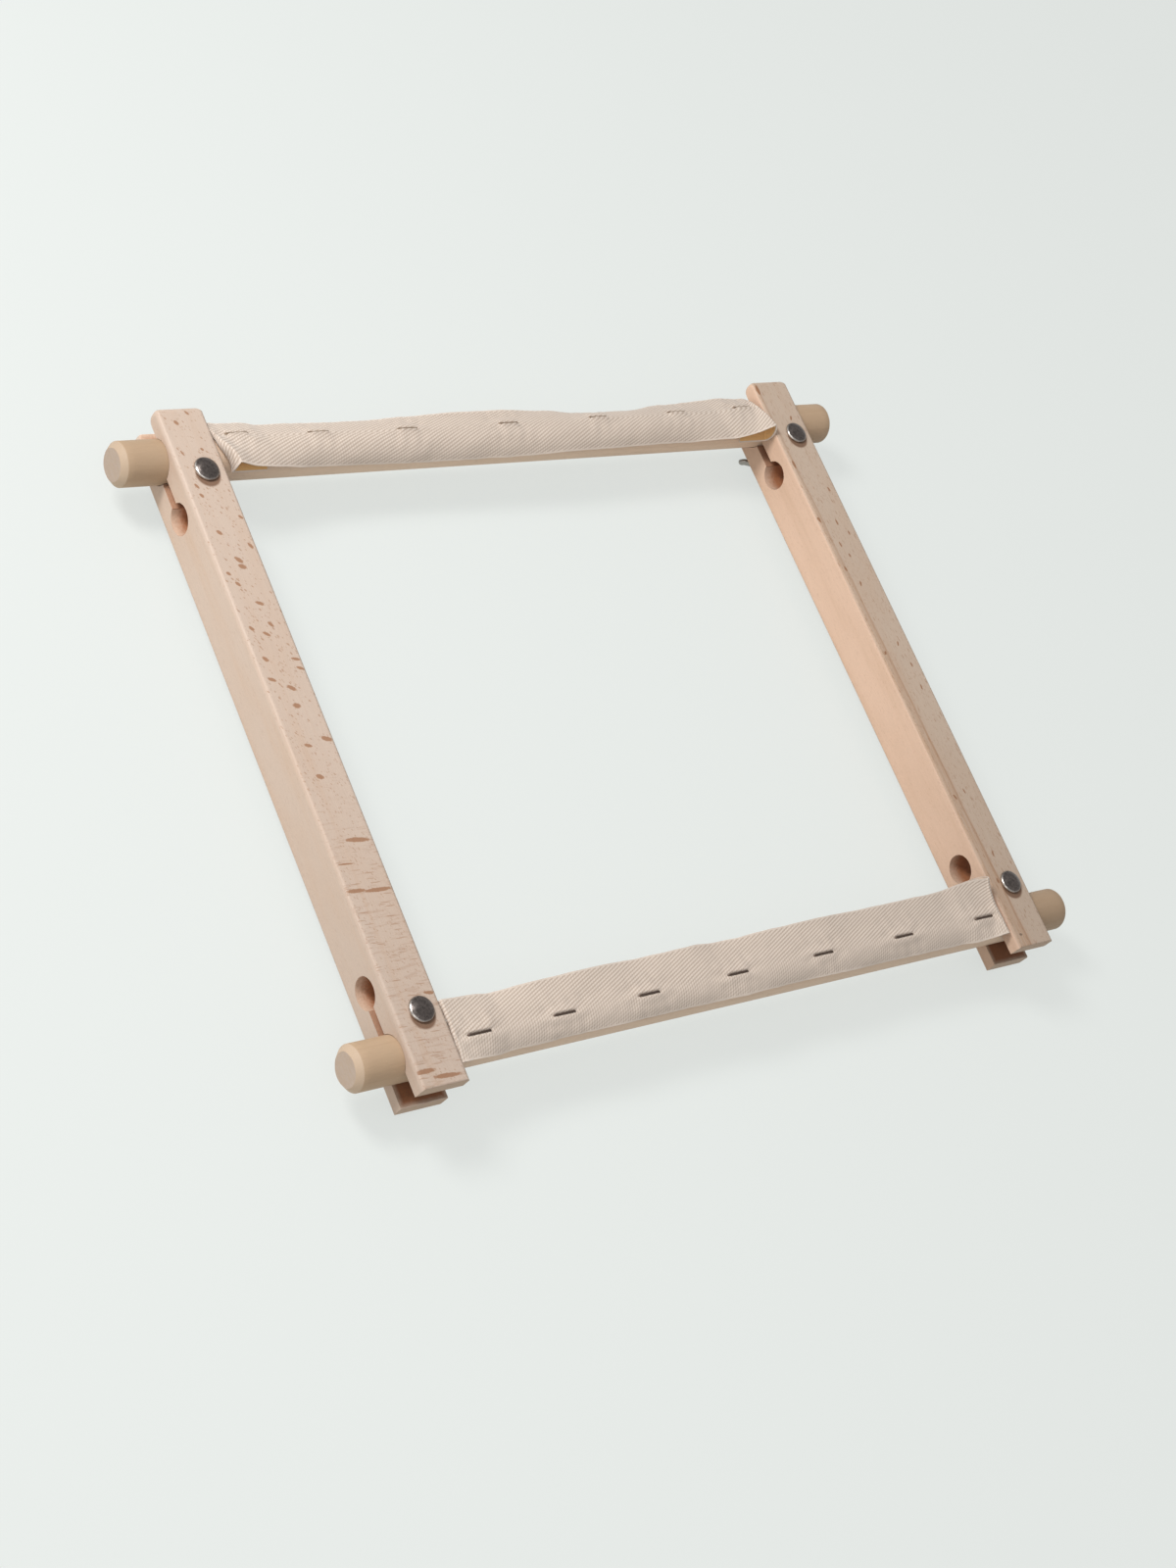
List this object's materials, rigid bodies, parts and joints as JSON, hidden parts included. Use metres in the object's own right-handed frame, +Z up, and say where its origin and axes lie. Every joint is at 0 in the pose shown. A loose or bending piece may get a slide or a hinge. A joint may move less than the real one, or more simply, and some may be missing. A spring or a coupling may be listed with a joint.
{
  "type": "rotating embroidery frame",
  "caption": "Rectangular needlework frame: slotted wooden side bars clamp turning dowel rollers that carry stapled twill tape.",
  "frame": {"origin": "middle of the frame on the surface that the four bolt tips stand on", "axes": "+X along the rollers to the picture's right, +Y along the side bars to the picture's top, +Z up to the bolt heads"},
  "size_m": [0.393, 0.3048, 0.0385],
  "materials": {
    "bar_wood": "planed and sanded beech, unvarnished",
    "roller_wood": "sanded dowel, unvarnished",
    "twill_tape": "undyed cotton twill",
    "staple_wire": "galvanised wire, dulled",
    "bolt_steel": "nickel plate, polished dark",
    "nut_steel": "zinc plate, satin"
  },
  "bodies": {
    "left_bar": {"left_side_bar": "bar_wood", "top_left_carriage_bolt": "bolt_steel", "bottom_left_carriage_bolt": "bolt_steel"},
    "right_bar": {"right_side_bar": "bar_wood", "top_right_carriage_bolt": "bolt_steel", "bottom_right_carriage_bolt": "bolt_steel"},
    "top_roller_with_tape": {"top_roller": "roller_wood", "top_tape": "twill_tape", "top_staple_1": "staple_wire", "top_staple_2": "staple_wire", "top_staple_3": "staple_wire", "top_staple_4": "staple_wire", "top_staple_5": "staple_wire", "top_staple_6": "staple_wire", "top_staple_7": "staple_wire"},
    "bottom_roller_with_tape": {"bottom_roller": "roller_wood", "bottom_tape": "twill_tape", "bottom_staple_1": "staple_wire", "bottom_staple_2": "staple_wire", "bottom_staple_3": "staple_wire", "bottom_staple_4": "staple_wire", "bottom_staple_5": "staple_wire", "bottom_staple_6": "staple_wire", "bottom_staple_7": "staple_wire"},
    "top_left_washer_on_bolt": {"top_left_washer": "nut_steel"},
    "top_right_washer_on_bolt": {"top_right_washer": "nut_steel"},
    "bottom_left_washer_on_bolt": {"bottom_left_washer": "nut_steel"},
    "bottom_right_washer_on_bolt": {"bottom_right_washer": "nut_steel"},
    "top_left_nut_on_bolt": {"top_left_wing_nut": "nut_steel"},
    "top_right_nut_on_bolt": {"top_right_wing_nut": "nut_steel"},
    "bottom_left_nut_on_bolt": {"bottom_left_wing_nut": "nut_steel"},
    "bottom_right_nut_on_bolt": {"bottom_right_wing_nut": "nut_steel"}
  },
  "joints": [
    {"name": "top_roller_turn", "type": "hinge", "parent": "left_bar", "child": "top_roller_with_tape", "pos_m": [0, 0.1342, 0.0211], "axis": [1, 0, 0], "continuous": true},
    {"name": "bottom_roller_turn", "type": "hinge", "parent": "left_bar", "child": "bottom_roller_with_tape", "pos_m": [0, -0.1342, 0.0211], "axis": [1, 0, 0], "continuous": true},
    {"name": "right_bar_slide", "type": "slide", "parent": "left_bar", "child": "right_bar", "axis": [1, 0, 0], "range_m": [0, 0.0235]},
    {"name": "top_left_washer_travel", "type": "slide", "parent": "left_bar", "child": "top_left_washer_on_bolt", "axis": [0, 0, -1], "range_m": [0, 0.0032]},
    {"name": "top_left_nut_turn", "type": "hinge", "parent": "top_left_washer_on_bolt", "child": "top_left_nut_on_bolt", "pos_m": [-0.1634, 0.12147, 0.0043], "axis": [0, 0, -1], "range_deg": [0, 1080]},
    {"name": "bottom_left_washer_travel", "type": "slide", "parent": "left_bar", "child": "bottom_left_washer_on_bolt", "axis": [0, 0, -1], "range_m": [0, 0.0032]},
    {"name": "bottom_left_nut_turn", "type": "hinge", "parent": "bottom_left_washer_on_bolt", "child": "bottom_left_nut_on_bolt", "pos_m": [-0.1634, -0.12147, 0.0043], "axis": [0, 0, -1], "range_deg": [0, 1080]},
    {"name": "top_right_washer_travel", "type": "slide", "parent": "right_bar", "child": "top_right_washer_on_bolt", "axis": [0, 0, -1], "range_m": [0, 0.0032]},
    {"name": "top_right_nut_turn", "type": "hinge", "parent": "top_right_washer_on_bolt", "child": "top_right_nut_on_bolt", "pos_m": [0.1634, 0.12147, 0.0043], "axis": [0, 0, -1], "range_deg": [0, 1080]},
    {"name": "bottom_right_washer_travel", "type": "slide", "parent": "right_bar", "child": "bottom_right_washer_on_bolt", "axis": [0, 0, -1], "range_m": [0, 0.0032]},
    {"name": "bottom_right_nut_turn", "type": "hinge", "parent": "bottom_right_washer_on_bolt", "child": "bottom_right_nut_on_bolt", "pos_m": [0.1634, -0.12147, 0.0043], "axis": [0, 0, -1], "range_deg": [0, 1080]}
  ],
  "couplings": [
    {"joint": "top_left_washer_travel", "follows": "top_left_nut_turn", "m_per_rad": 0.00016844},
    {"joint": "bottom_left_washer_travel", "follows": "bottom_left_nut_turn", "m_per_rad": 0.00016844},
    {"joint": "top_right_washer_travel", "follows": "top_right_nut_turn", "m_per_rad": 0.00016844},
    {"joint": "bottom_right_washer_travel", "follows": "bottom_right_nut_turn", "m_per_rad": 0.00016844}
  ]
}
